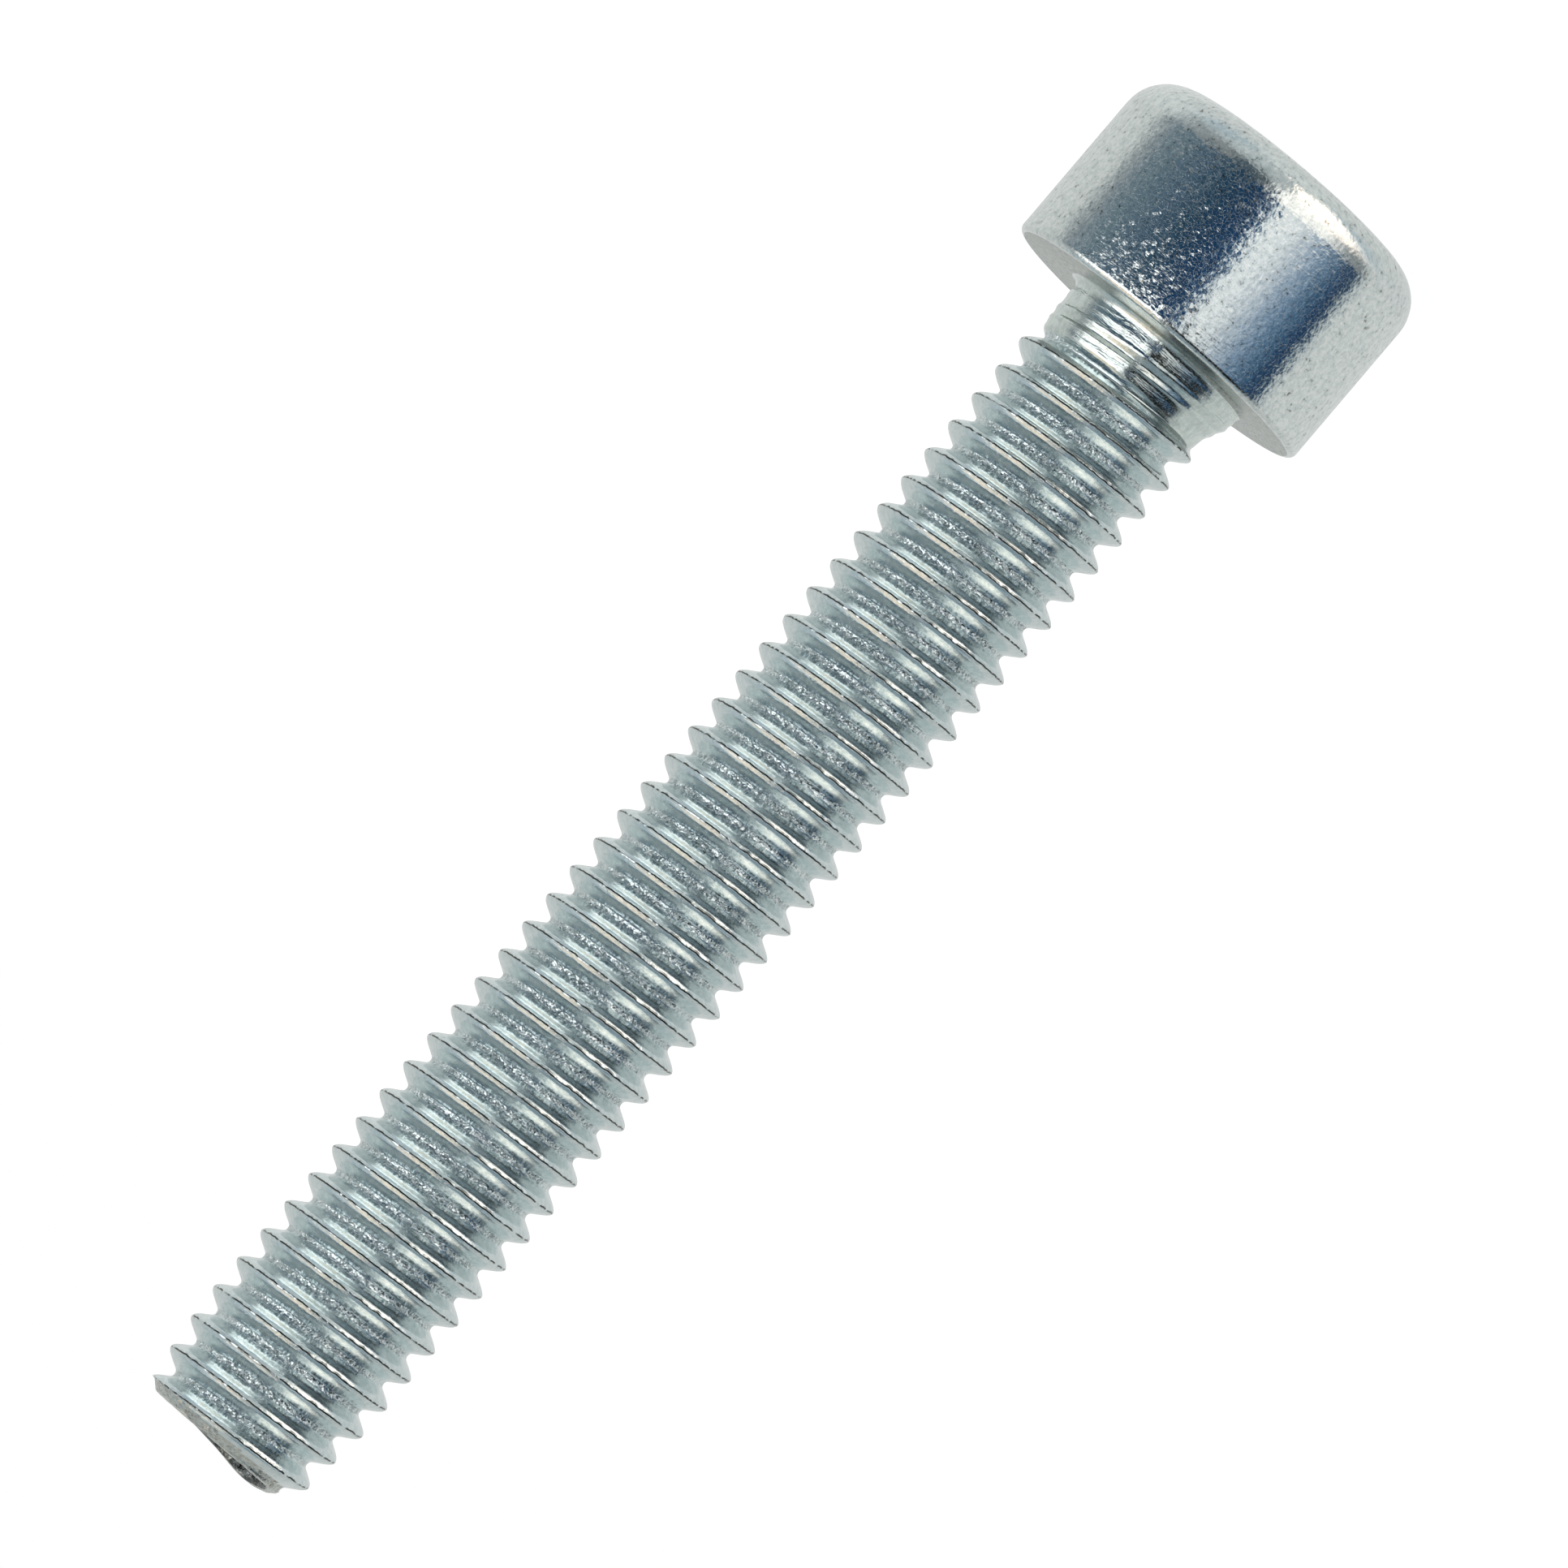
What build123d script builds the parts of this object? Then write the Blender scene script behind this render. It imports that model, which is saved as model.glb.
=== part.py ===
"""Thread-forming screw, M6 x 40, with a cylinder head and a hexagon socket.

One solid in millimetres. The origin is the centre of the bearing face under the head, and +Z runs
along the shank to the tip, so the head lies below the origin and the screw stands on its head.
"""

import os
from math import cos, pi, radians, sin, tan

from build123d import *

# Head
HEAD_DIAMETER = 9.8
HEAD_HEIGHT = 5.9
HEAD_TOP_RADIUS = 1.3
HEAD_LOWER_CHAMFER = 0.2

# Hexagon socket
SOCKET_ACROSS_FLATS = 5.0
SOCKET_DEPTH = 3.0
SOCKET_POINT_ANGLE = 120.0
SOCKET_MOUTH_DIAMETER = 6.1
SOCKET_MOUTH_ANGLE = 90.0

# Shank, measured from the bearing face
SHANK_LENGTH = 39.8

# Rolled thread: right-handed, single start
PITCH = 1.0
THREAD_WIDTH = 5.74
THREAD_DEPTH = 0.52
FLANK_LENGTH = 0.3
ROOT_ROUNDING = 0.18
CREST_ABOVE_BLANK = 0.19
LOBE_COUNT = 3
LOBE_HEIGHT = 0.1
LOBE_ANGLE = 37.0
RUNOUT_LENGTH = 0.9

# Neck between the bearing face and the thread
NECK_CHAMFER = 0.25
COLLAR_ABOVE_BLANK = 0.2
COLLAR_LENGTH = 0.6
COLLAR_TAPER_LENGTH = 0.6

# Lead: the thread shrinks towards the tip, which lets it enter its hole
LEAD_LENGTH = 3.1
LEAD_DROP = 0.33
END_CHAMFER = 0.35
CUP_DIAMETER = 3.2
CUP_DEPTH = 0.3

# Modelling allowances
POINTS_PER_TURN = 16
SLOPE_STEP = 1e-4
BURIED_LENGTH = 0.35
SPARE_TURNS = 2

# Worked out from the sizes above
CREST_RADIUS = THREAD_WIDTH / 2
BLANK_RADIUS = CREST_RADIUS - CREST_ABOVE_BLANK
ROOT_RADIUS = CREST_RADIUS - THREAD_DEPTH
COLLAR_END = COLLAR_LENGTH + COLLAR_TAPER_LENGTH
LEAD_START = SHANK_LENGTH - LEAD_LENGTH


def smooth_step(value: float) -> float:
    """Rise from 0 to 1 with no corner at either end, as value goes from 0 to 1."""
    share = min(max(value, 0.0), 1.0)
    return share * share * (3 - 2 * share)


def thread_radius(full_radius: float, height: float, angle: float) -> float:
    """Radius of the thread's surface where its full radius would be full_radius.

    Below the run-out the surface is the plain round blank. Above it the section has three lobes,
    and over the lead it shrinks evenly.
    """
    formed = smooth_step((height - COLLAR_END) / RUNOUT_LENGTH)
    lobes = LOBE_HEIGHT * cos(LOBE_COUNT * (angle - radians(LOBE_ANGLE)))
    drop = LEAD_DROP * max(height - LEAD_START, 0.0) / LEAD_LENGTH
    return BLANK_RADIUS + formed * (full_radius - BLANK_RADIUS + lobes) - drop


def helix_point(full_radius: float, offset: float, turns: float) -> Vector:
    """Point on one of the thread's edges, a number of turns along it."""
    angle = 2 * pi * turns
    height = offset + PITCH * turns
    radius = thread_radius(full_radius, height, angle)
    return Vector(radius * cos(angle), radius * sin(angle), height)


def helix_turn(full_radius: float, offset: float, turn: int) -> Edge:
    """One turn of one of the thread's edges, as a smooth curve that runs on into the next turn."""
    shares = [step / POINTS_PER_TURN for step in range(POINTS_PER_TURN + 1)]
    points = [helix_point(full_radius, offset, turn + share) for share in shares]
    slopes = []
    for end in (turn, turn + 1):
        ahead = helix_point(full_radius, offset, end + SLOPE_STEP)
        behind = helix_point(full_radius, offset, end - SLOPE_STEP)
        slopes.append((ahead - behind) * (1 / (2 * SLOPE_STEP)))
    return Edge.make_spline(points, tangents=slopes, parameters=shares, scale=False)


def thread_outline() -> list[tuple[float, float]]:
    """The thread's corners over one pitch, as (full radius, height above the root's middle).

    Rolled flanks bulge a little, so the flat that stands for each leans more than a cut flank
    would. The flanks meet at the crest, and the root between them is rounded in two bevels.
    """
    return [
        (ROOT_RADIUS, 0.0),
        (ROOT_RADIUS + ROOT_ROUNDING, PITCH / 2 - FLANK_LENGTH),
        (CREST_RADIUS, PITCH / 2),
        (ROOT_RADIUS + ROOT_ROUNDING, PITCH / 2 + FLANK_LENGTH),
        (ROOT_RADIUS, PITCH),
    ]


def end_faces(turn: int, first: Edge) -> list[Face]:
    """Close the thread at a whole turn: a ramp from the axis to the edge, and a flat wall.

    Both lie outside the finished length, so they are cut away or buried.
    """
    low = PITCH * turn
    axis_line = Edge.make_line((0, 0, low), (0, 0, low + PITCH))
    ramp = Face.make_surface_from_curves(axis_line, first)
    corners = [helix_point(radius, height, turn) for radius, height in thread_outline()]
    wall = Face(Wire.make_polygon([Vector(0, 0, low), *corners, Vector(0, 0, low + PITCH)]))
    return [ramp, wall]


def thread_rod() -> Solid:
    """The rolled rod, a turn longer than needed at the tip and buried in the neck at the head."""
    last_turn = int(SHANK_LENGTH / PITCH) + SPARE_TURNS
    outline = thread_outline()
    faces = []
    for turn in range(last_turn):
        edges = [helix_turn(radius, height, turn) for radius, height in outline]
        faces += [Face.make_surface_from_curves(low, high) for low, high in zip(edges, edges[1:])]
        if turn == 0:
            faces += end_faces(turn, edges[0])
    faces += end_faces(last_turn, helix_turn(*outline[0], last_turn))
    return Solid(Shell(faces))


def tip_envelope() -> Solid:
    """Everything inside the chamfered and cupped end, to trim the rod with."""
    reach = CREST_RADIUS + LOBE_HEIGHT + PITCH
    lead_radius = CREST_RADIUS - LEAD_DROP
    end_radius = lead_radius - END_CHAMFER
    spread = reach - end_radius
    cup_radius = CUP_DIAMETER / 2
    outline = Polyline(
        (0, SHANK_LENGTH - CUP_DEPTH),
        (0, -PITCH),
        (reach, -PITCH),
        (reach, SHANK_LENGTH - spread),
        (end_radius, SHANK_LENGTH),
        (cup_radius, SHANK_LENGTH),
    )
    cup_curve = (cup_radius**2 + CUP_DEPTH**2) / (2 * CUP_DEPTH)
    cup = RadiusArc((cup_radius, SHANK_LENGTH), (0, SHANK_LENGTH - CUP_DEPTH), cup_curve)
    return revolve(Plane.XZ * make_face(outline + cup), axis=Axis.Z).solid()


def head_and_neck() -> Solid:
    """The turned form of the head and neck, whose end is buried in the rod."""
    head_radius = HEAD_DIAMETER / 2
    collar_radius = BLANK_RADIUS + COLLAR_ABOVE_BLANK
    buried_radius = BLANK_RADIUS - COLLAR_ABOVE_BLANK * BURIED_LENGTH / COLLAR_TAPER_LENGTH
    end = COLLAR_END + BURIED_LENGTH
    section = make_face(
        Polyline(
            (0, -HEAD_HEIGHT),
            (head_radius, -HEAD_HEIGHT),
            (head_radius, 0),
            (collar_radius, 0),
            (collar_radius, COLLAR_LENGTH),
            (buried_radius, end),
            (0, end),
            close=True,
        )
    )
    section = fillet(corner_at(section, head_radius, -HEAD_HEIGHT), HEAD_TOP_RADIUS)
    section = chamfer(corner_at(section, head_radius, 0), HEAD_LOWER_CHAMFER)
    section = chamfer(corner_at(section, collar_radius, 0), NECK_CHAMFER)
    return revolve(Plane.XZ * section, axis=Axis.Z).solid()


def corner_at(section: Sketch, radius: float, height: float) -> Vertex:
    """The corner of a half section that lies at a radius and height."""
    return section.vertices().sort_by_distance(Vector(radius, height, 0))[0]


def drive_socket() -> Part:
    """The hexagon socket with its drill point and countersunk mouth, to cut out of the head."""
    flats_radius = SOCKET_ACROSS_FLATS / 2
    point_height = flats_radius / tan(radians(SOCKET_POINT_ANGLE / 2))
    mouth_radius = SOCKET_MOUTH_DIAMETER / 2
    mouth_height = mouth_radius / tan(radians(SOCKET_MOUTH_ANGLE / 2))
    face_plane = Plane.XY.offset(-HEAD_HEIGHT)
    hexagon = face_plane * RegularPolygon(flats_radius, 6, major_radius=False)
    prism = extrude(hexagon, SOCKET_DEPTH)
    point = Location((0, 0, SOCKET_DEPTH - HEAD_HEIGHT + point_height / 2)) * Cone(
        flats_radius, 0, point_height
    )
    mouth = Location((0, 0, mouth_height / 2 - HEAD_HEIGHT)) * Cone(mouth_radius, 0, mouth_height)
    return prism + point + mouth


def make_screw() -> Solid:
    """The whole screw as one solid."""
    shank = thread_rod() & tip_envelope()
    screw = head_and_neck() + shank - drive_socket()
    return screw.solid()


def main() -> None:
    """Write the screw as one STEP file."""
    os.makedirs("parts", exist_ok=True)
    screw = make_screw()
    print("thread_forming_screw", "valid", screw.is_valid, "volume", round(screw.volume, 1))
    export_step(screw, "parts/thread_forming_screw.step")


if __name__ == "__main__":
    main()
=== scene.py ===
"""Thread-forming screw, M6 x 40, in bright zinc plate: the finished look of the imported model."""

import logging
import math
from dataclasses import dataclass
from enum import Enum
from typing import Any, Callable

import bmesh
import bpy
import numpy as np
from mathutils import Matrix, Vector


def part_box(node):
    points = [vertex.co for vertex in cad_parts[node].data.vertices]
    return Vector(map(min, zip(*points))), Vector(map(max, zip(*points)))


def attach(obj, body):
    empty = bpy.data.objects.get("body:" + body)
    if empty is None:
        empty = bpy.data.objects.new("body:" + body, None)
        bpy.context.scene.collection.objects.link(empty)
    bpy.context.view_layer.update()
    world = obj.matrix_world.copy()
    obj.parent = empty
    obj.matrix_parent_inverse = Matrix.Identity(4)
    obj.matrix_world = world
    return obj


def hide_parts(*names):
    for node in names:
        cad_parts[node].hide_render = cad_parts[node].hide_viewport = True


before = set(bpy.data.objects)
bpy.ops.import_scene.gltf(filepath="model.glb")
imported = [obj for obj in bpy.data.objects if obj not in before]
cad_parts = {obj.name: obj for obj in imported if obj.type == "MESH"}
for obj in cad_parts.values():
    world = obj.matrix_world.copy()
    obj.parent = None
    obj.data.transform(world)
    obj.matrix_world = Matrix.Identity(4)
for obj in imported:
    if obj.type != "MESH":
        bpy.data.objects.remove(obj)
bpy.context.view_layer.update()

Socket = bpy.types.NodeSocket
Tree = bpy.types.NodeTree

NODE = "thread_forming_screw"
MM = 0.001
FACETS_ROUND = 72
SEED = 11
# Slack when a vertex is picked by its place, in metres
NEAR = 1e-6
# Distances under which vertices are merged, along the thread and where head and shank meet
THREAD_WELD = 2e-6
NECK_WELD = 4e-6
# Direction from the axis in which the finishes' patterns start, in degrees
PATTERN_FRONT = 209.0

log = logging.getLogger("screw")


class Zone(Enum):
    """Zones of the screw's surface, each with a finish of its own."""

    HEAD = 0
    SOCKET = 1
    NECK = 2
    THREAD = 3
    END = 4
    SEAT = 5
    CUP = 6


class Element(Enum):
    """Kinds of mesh element that are selected by their place."""

    FACE = "FACE"
    EDGE = "EDGE"


def linear(code: str) -> tuple[float, float, float, float]:
    """Turn an sRGB hex colour into a linear one.

    Args:
        code: The colour, such as "#C9CFCE".

    Returns:
        Red, green, blue and alpha, linear.
    """
    values = [int(code[i : i + 2], 16) / 255 for i in (1, 3, 5)]
    bent = [v / 12.92 if v <= 0.04045 else ((v + 0.055) / 1.055) ** 2.4 for v in values]
    return (*bent, 1.0)


def add_node(
    tree: Tree, kind: str, inputs: dict[Any, Any] | None = None, **settings: Any
) -> bpy.types.Node:
    """Add a node with its settings and links.

    Args:
        tree: The node tree.
        kind: The node's type name.
        inputs: A value or an output socket for each input that isn't left at its default.
        **settings: Properties of the node.

    Returns:
        The new node.
    """
    node = tree.nodes.new(kind)
    for name, value in settings.items():
        setattr(node, name, value)
    for key, value in (inputs or {}).items():
        if isinstance(value, Socket):
            tree.links.new(value, node.inputs[key])
        else:
            node.inputs[key].default_value = value
    return node


def calculate(tree: Tree, operation: str, *values: Socket | float) -> Socket:
    """Add a math node.

    Args:
        tree: The node tree.
        operation: What the node does.
        *values: Numbers or output sockets, in the order of its inputs.

    Returns:
        The result.
    """
    node = add_node(tree, "ShaderNodeMath", dict(enumerate(values)), operation=operation)
    return node.outputs[0]


def calculate_vector(tree: Tree, operation: str, *values: Socket | tuple[float, ...]) -> Socket:
    """Add a vector math node.

    Args:
        tree: The node tree.
        operation: What the node does.
        *values: Vectors or output sockets, in the order of its inputs.

    Returns:
        The result, which is a number for a length and for a dot product.
    """
    node = add_node(tree, "ShaderNodeVectorMath", dict(enumerate(values)), operation=operation)
    return node.outputs["Value" if operation in ("LENGTH", "DOT_PRODUCT") else "Vector"]


def remap(
    tree: Tree,
    value: Socket,
    source: tuple[float, float],
    target: tuple[float, float] = (0.0, 1.0),
    smooth: bool = False,
) -> Socket:
    """Add a node that carries one range of a value over to another and keeps it within.

    Args:
        tree: The node tree.
        value: The value.
        source: The range it comes from.
        target: The range it goes to.
        smooth: Whether it goes with no corner at either end.

    Returns:
        The new value.
    """
    inputs = {
        "Value": value, "From Min": source[0], "From Max": source[1],
        "To Min": target[0], "To Max": target[1],
    }
    way = "SMOOTHSTEP" if smooth else "LINEAR"
    return add_node(tree, "ShaderNodeMapRange", inputs, interpolation_type=way).outputs["Result"]


def add_noise(
    tree: Tree, point: Socket, size: float, detail: float, roughness: float = 0.5
) -> Socket:
    """Add soft noise.

    Args:
        tree: The node tree.
        point: Where the noise is read.
        size: Size of its features, in the unit of the point.
        detail: How many finer layers it has.
        roughness: How strong each layer is, as a share of the one before.

    Returns:
        The noise, from 0 to 1 with most of it near the middle.
    """
    inputs = {"Vector": point, "Scale": 1 / size, "Detail": detail, "Roughness": roughness}
    return add_node(tree, "ShaderNodeTexNoise", inputs).outputs["Fac"]


def add_bump(tree: Tree, relief: Socket, height: float, normal: Socket | None = None) -> Socket:
    """Add relief to a normal.

    Args:
        tree: The node tree.
        relief: The relief, from 0 to 1.
        height: How high it is in millimetres where it is 1.
        normal: The normal under it, if not the surface's own.

    Returns:
        The new normal.
    """
    inputs = {"Height": relief, "Distance": height * MM}
    if normal is not None:
        inputs["Normal"] = normal
    return add_node(tree, "ShaderNodeBump", inputs).outputs[0]


def mix_colours(tree: Tree, share: Socket, first: Any, second: Any) -> Socket:
    """Add a node that blends two colours, each a linear one or an output socket.

    Args:
        tree: The node tree.
        share: How much of the second colour there is.
        first: The first colour.
        second: The second colour.

    Returns:
        The blend.
    """
    inputs = {0: share, 6: first, 7: second}
    return add_node(tree, "ShaderNodeMix", inputs, data_type="RGBA").outputs[2]


def smooth_step(value: np.ndarray | float) -> np.ndarray:
    """Rise from 0 to 1 with no corner at either end, as value goes from 0 to 1."""
    share = np.clip(value, 0.0, 1.0)
    return share * share * (3 - 2 * share)


def start_alone() -> None:
    """Leave edit mode and deselect everything, so that an operator acts on the new piece alone."""
    if bpy.context.object and bpy.context.object.mode != "OBJECT":
        bpy.ops.object.mode_set(mode="OBJECT")
    bpy.ops.object.select_all(action="DESELECT")


def pick(piece: bpy.types.Object, kind: Element, test: Callable[[Any], bool]) -> None:
    """Select the faces or edges of the piece in edit mode that pass a test.

    Args:
        piece: The object in edit mode.
        kind: Which kind of element to select.
        test: Whether an element is selected.
    """
    bpy.ops.mesh.select_mode(type=kind.value)
    bpy.ops.mesh.select_all(action="DESELECT")
    shape = bmesh.from_edit_mesh(piece.data)
    for element in shape.faces if kind is Element.FACE else shape.edges:
        if test(element):
            element.select_set(True)
    bmesh.update_edit_mesh(piece.data)


def place_picked(piece: bpy.types.Object, move: Callable[[Vector], Vector]) -> None:
    """Put each selected vertex where move says.

    Args:
        piece: The object in edit mode.
        move: The new place of a vertex, from its old one.
    """
    shape = bmesh.from_edit_mesh(piece.data)
    for vertex in shape.verts:
        if vertex.select:
            vertex.co = move(vertex.co)
    bmesh.update_edit_mesh(piece.data)


def at_radius(point: Vector, radius: float, height: float) -> Vector:
    """A point at the same angle round the axis, at a radius and height in millimetres."""
    angle = math.atan2(point.y, point.x)
    return Vector((radius * MM * math.cos(angle), radius * MM * math.sin(angle), height * MM))


def bearing(point: Vector) -> float:
    """Angle of a point round the axis in degrees, rounded so that it names its line of facets."""
    return round(math.degrees(math.atan2(point.y, point.x)), 1)


def is_end_face(face: bmesh.types.BMFace, side: int) -> bool:
    """Whether a face is the flat one at the head's end, side -1, or at its bearing face, 1."""
    return face.normal.z * side > 0.99 and len(face.verts) == FACETS_ROUND


@dataclass
class RolledShank:
    """Neck, rolled thread, tapered lead and rough cupped end. Sizes in millimetres."""

    length: float
    start: float = 0.25
    rim_height: float = 39.45
    pitch: float = 1.0
    crest_radius: float = 2.868
    depth: float = 0.512
    lobe_count: int = 3
    lobe_height: float = 0.1
    lobe_angle: float = math.radians(37)
    runout_start: float = 1.46
    runout_length: float = 0.5
    lead_start: float = 36.7
    lead_drop: float = 0.33
    end_chamfer_start: float = 39.25
    # Half of one turn's outline, from the middle of the root to the crest: (height, share of depth)
    outline: tuple[tuple[float, float], ...] = (
        (0.0, 0.0), (0.05, 0.01), (0.09, 0.045), (0.12, 0.1), (0.15, 0.18), (0.2, 0.34),
        (0.26, 0.535), (0.32, 0.715), (0.37, 0.84), (0.405, 0.91), (0.435, 0.955),
        (0.46, 0.98), (0.48, 0.994), (0.5, 1.0),
    )
    # Uneven wear of the crest: its depth, and the rates of the two waves that make it. The first
    # goes by millimetres above the helix and radians, the other by radians and millimetres up.
    wear: float = 0.008
    wear_rates: tuple[float, float, float, float] = (17.3, 9.1, 5.7, 2.1)
    # Outline of the neck under the thread, stepped where the rolling dies ended: (height, radius).
    # The steps climb with the thread, and the heights are those in the direction of neck_front.
    neck: tuple[tuple[float, float], ...] = (
        (0.25, 2.893), (0.32, 2.89), (0.4, 2.885), (0.66, 2.844), (0.68, 2.842), (0.71, 2.845),
        (0.73, 2.844), (0.75, 2.84), (0.82, 2.8), (0.9, 2.742), (0.94, 2.722), (0.97, 2.713),
        (0.99, 2.711), (1.09, 2.727), (1.12, 2.725), (1.2, 2.69), (1.25, 2.684), (1.4, 2.665),
        (1.55, 2.64), (1.75, 2.61), (2.2, 2.595),
    )
    neck_front: float = math.radians(209)
    neck_level_length: float = 0.15
    # Fine helical marks left on the neck by the rolling dies: (phase, depth, first, last height)
    neck_marks: tuple[tuple[float, float, float, float], ...] = (
        (0.75, 0.012, 0.27, 1.0), (0.12, 0.014, 0.3, 0.8), (0.36, 0.01, 0.5, 1.5),
        (0.55, -0.008, 0.6, 1.6),
    )
    neck_mark_width: float = 0.045
    neck_mark_rise: float = 0.15
    neck_mark_fall: float = 0.3
    # The lip folded over at the end, which stands proud in one direction
    lip_radius: float = 2.08
    lip_angle: float = math.radians(67)
    lip_spread: float = 0.75
    lip_least_rise: float = 0.07
    tip_clearance: float = 0.002
    # Rings from the rim over the lip into the cup: share of the radius, share of the lip's rise,
    # and depth
    cup_rings: tuple[tuple[float, float, float], ...] = (
        (0.992, 0.3, 0.0), (0.975, 0.58, 0.0), (0.95, 0.8, 0.0), (0.915, 0.94, 0.0),
        (0.875, 0.985, 0.0), (0.84, 0.95, 0.0), (0.818, 0.8, 0.01), (0.806, 0.5, 0.03),
        (0.796, 0.2, 0.06), (0.78, 0.0, 0.1), (0.72, 0.0, 0.16), (0.6, 0.0, 0.2),
        (0.45, 0.0, 0.23), (0.3, 0.0, 0.245), (0.15, 0.0, 0.25),
    )
    # Number of rings over which the lobed rim becomes round
    rounding_rings: int = 5
    dent_waves: int = 9
    dent_height: float = 0.004

    def neck_radii(self, angle: np.ndarray, height: np.ndarray) -> np.ndarray:
        """Radius of the plain neck, whose steps climb with the thread.

        Args:
            angle: Angles round the axis, in radians.
            height: Heights above the bearing face.

        Returns:
            The radii.
        """
        slant = np.sin(self.neck_front - angle) / (2 * np.pi) * self.pitch
        slant = slant * smooth_step((height - self.start) / self.neck_level_length)
        return np.interp(height + slant, *zip(*self.neck))

    def mark_depths(self, angle: np.ndarray, height: np.ndarray) -> np.ndarray:
        """Depth of the rolling dies' marks on the neck.

        Args:
            angle: Angles round the axis, in radians.
            height: Heights above the bearing face.

        Returns:
            The depths.
        """
        depths = np.zeros_like(height)
        for mark, depth, low, high in self.neck_marks:
            phase = height / self.pitch - angle / (2 * np.pi)
            gap = np.abs(np.mod(phase - mark + 0.5, 1.0) - 0.5)
            groove = np.exp(-((gap / self.neck_mark_width) ** 2))
            rise = smooth_step((height - low) / self.neck_mark_rise)
            fall = smooth_step((high - height) / self.neck_mark_fall)
            depths = depths + depth * groove * (rise * fall)
        return depths

    def radii(self, angle: np.ndarray, height: np.ndarray) -> np.ndarray:
        """Radius of the shank's surface.

        Args:
            angle: Angles round the axis, in radians.
            height: Heights above the bearing face.

        Returns:
            The radii.
        """
        turns = angle / (2 * np.pi)
        phase = np.mod(height / self.pitch - turns, 1.0)
        from_root = 0.5 - np.abs(phase - 0.5)
        share = np.interp(from_root, *zip(*self.outline))
        full = self.crest_radius - self.depth + self.depth * share
        above_helix = height - turns * self.pitch
        rates = self.wear_rates
        wear = self.wear * np.sin(rates[0] * above_helix + rates[1] * angle)
        wear = wear * np.sin(rates[2] * angle + rates[3] * height)
        formed = smooth_step((height - self.runout_start) / self.runout_length)
        lobes = self.lobe_height * np.cos(self.lobe_count * (angle - self.lobe_angle))
        lead = np.clip(height - self.lead_start, 0, None) / (self.length - self.lead_start)
        neck = self.neck_radii(angle, height)
        radius = neck + formed * (full - neck + lobes + wear * share**4)
        radius = radius - self.lead_drop * lead - self.mark_depths(angle, height)
        chamfer = self.crest_radius - self.lead_drop - (height - self.end_chamfer_start)
        return np.minimum(radius, np.where(height > self.end_chamfer_start, chamfer, np.inf))

    def roll(self) -> bpy.types.Object:
        """Draw one turn's outline point by point and screw it along the shank.

        Returns:
            The rolled rod, which is a turn or more longer than the shank at both ends.
        """
        start_alone()
        root_radius = self.crest_radius - self.depth
        half = [(z, root_radius + self.depth * share) for z, share in self.outline]
        points = half + [(self.pitch - z, radius) for z, radius in half[-2::-1]]
        low = math.floor(self.start) - 1
        bpy.ops.mesh.primitive_plane_add(size=MM)
        piece = bpy.context.object
        piece.name = "rolled_shank"
        bpy.ops.object.mode_set(mode="EDIT")
        bpy.ops.mesh.merge(type="CENTER")
        bpy.ops.transform.translate(value=(root_radius * MM, 0, low * MM))
        for (z0, r0), (z1, r1) in zip(points, points[1:]):
            step = ((r1 - r0) * MM, 0, (z1 - z0) * MM)
            bpy.ops.mesh.extrude_region_move(TRANSFORM_OT_translate={"value": step})
        bpy.ops.object.mode_set(mode="OBJECT")
        screw = piece.modifiers.new("roll", "SCREW")
        screw.screw_offset = self.pitch * MM
        screw.iterations = math.ceil(self.length) + 1 - low
        screw.steps = screw.render_steps = FACETS_ROUND
        screw.use_merge_vertices = False
        bpy.ops.object.modifier_apply(modifier=screw.name)
        return piece

    def form(self, piece: bpy.types.Object) -> None:
        """Give the rolled rod its flat ends, lobes, run-out, neck and tapered lead.

        Args:
            piece: The rolled rod, which is left in edit mode.
        """
        mesh = piece.data
        points = np.empty(len(mesh.vertices) * 3)
        mesh.vertices.foreach_get("co", points)
        points = points.reshape(-1, 3) / MM
        angle = np.mod(np.round(np.arctan2(points[:, 1], points[:, 0]), 9), 2 * np.pi)
        height = np.clip(points[:, 2], self.start, self.rim_height)
        radius = self.radii(angle, height)
        points = np.stack([radius * np.cos(angle), radius * np.sin(angle), height], axis=1) * MM
        mesh.vertices.foreach_set("co", points.ravel())
        mesh.update()
        bpy.ops.object.mode_set(mode="EDIT")
        bpy.ops.mesh.select_all(action="SELECT")
        bpy.ops.mesh.remove_doubles(threshold=THREAD_WELD)
        bpy.ops.mesh.dissolve_degenerate(threshold=NEAR)

    def lip_rise(self, angle: float) -> float:
        """Height of the folded lip above the rim: it stands proud on one side of the end."""
        away = math.atan2(math.sin(angle - self.lip_angle), math.cos(angle - self.lip_angle))
        most = self.length - self.rim_height - self.lip_least_rise
        return self.lip_least_rise + most * math.exp(-((away / self.lip_spread) ** 2))

    def close_end(self, piece: bpy.types.Object) -> None:
        """Fold the rim over into the shallow rough cup that the rolling leaves at the end.

        Args:
            piece: The formed shank in edit mode.
        """
        rng = np.random.default_rng(SEED)
        rim = self.rim_height * MM
        pick(
            piece, Element.EDGE,
            lambda e: e.is_boundary and all(v.co.z > rim - NEAR for v in e.verts),
        )
        shape = bmesh.from_edit_mesh(piece.data)
        rim_radii = {bearing(v.co): v.co.xy.length / MM for v in shape.verts if v.select}
        dents = rng.normal(0.0, 1.0, (len(self.cup_rings), self.dent_waves))
        for number, (share, rise, sink) in enumerate(self.cup_rings):
            bpy.ops.mesh.extrude_region()
            dent = dents[number]

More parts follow.
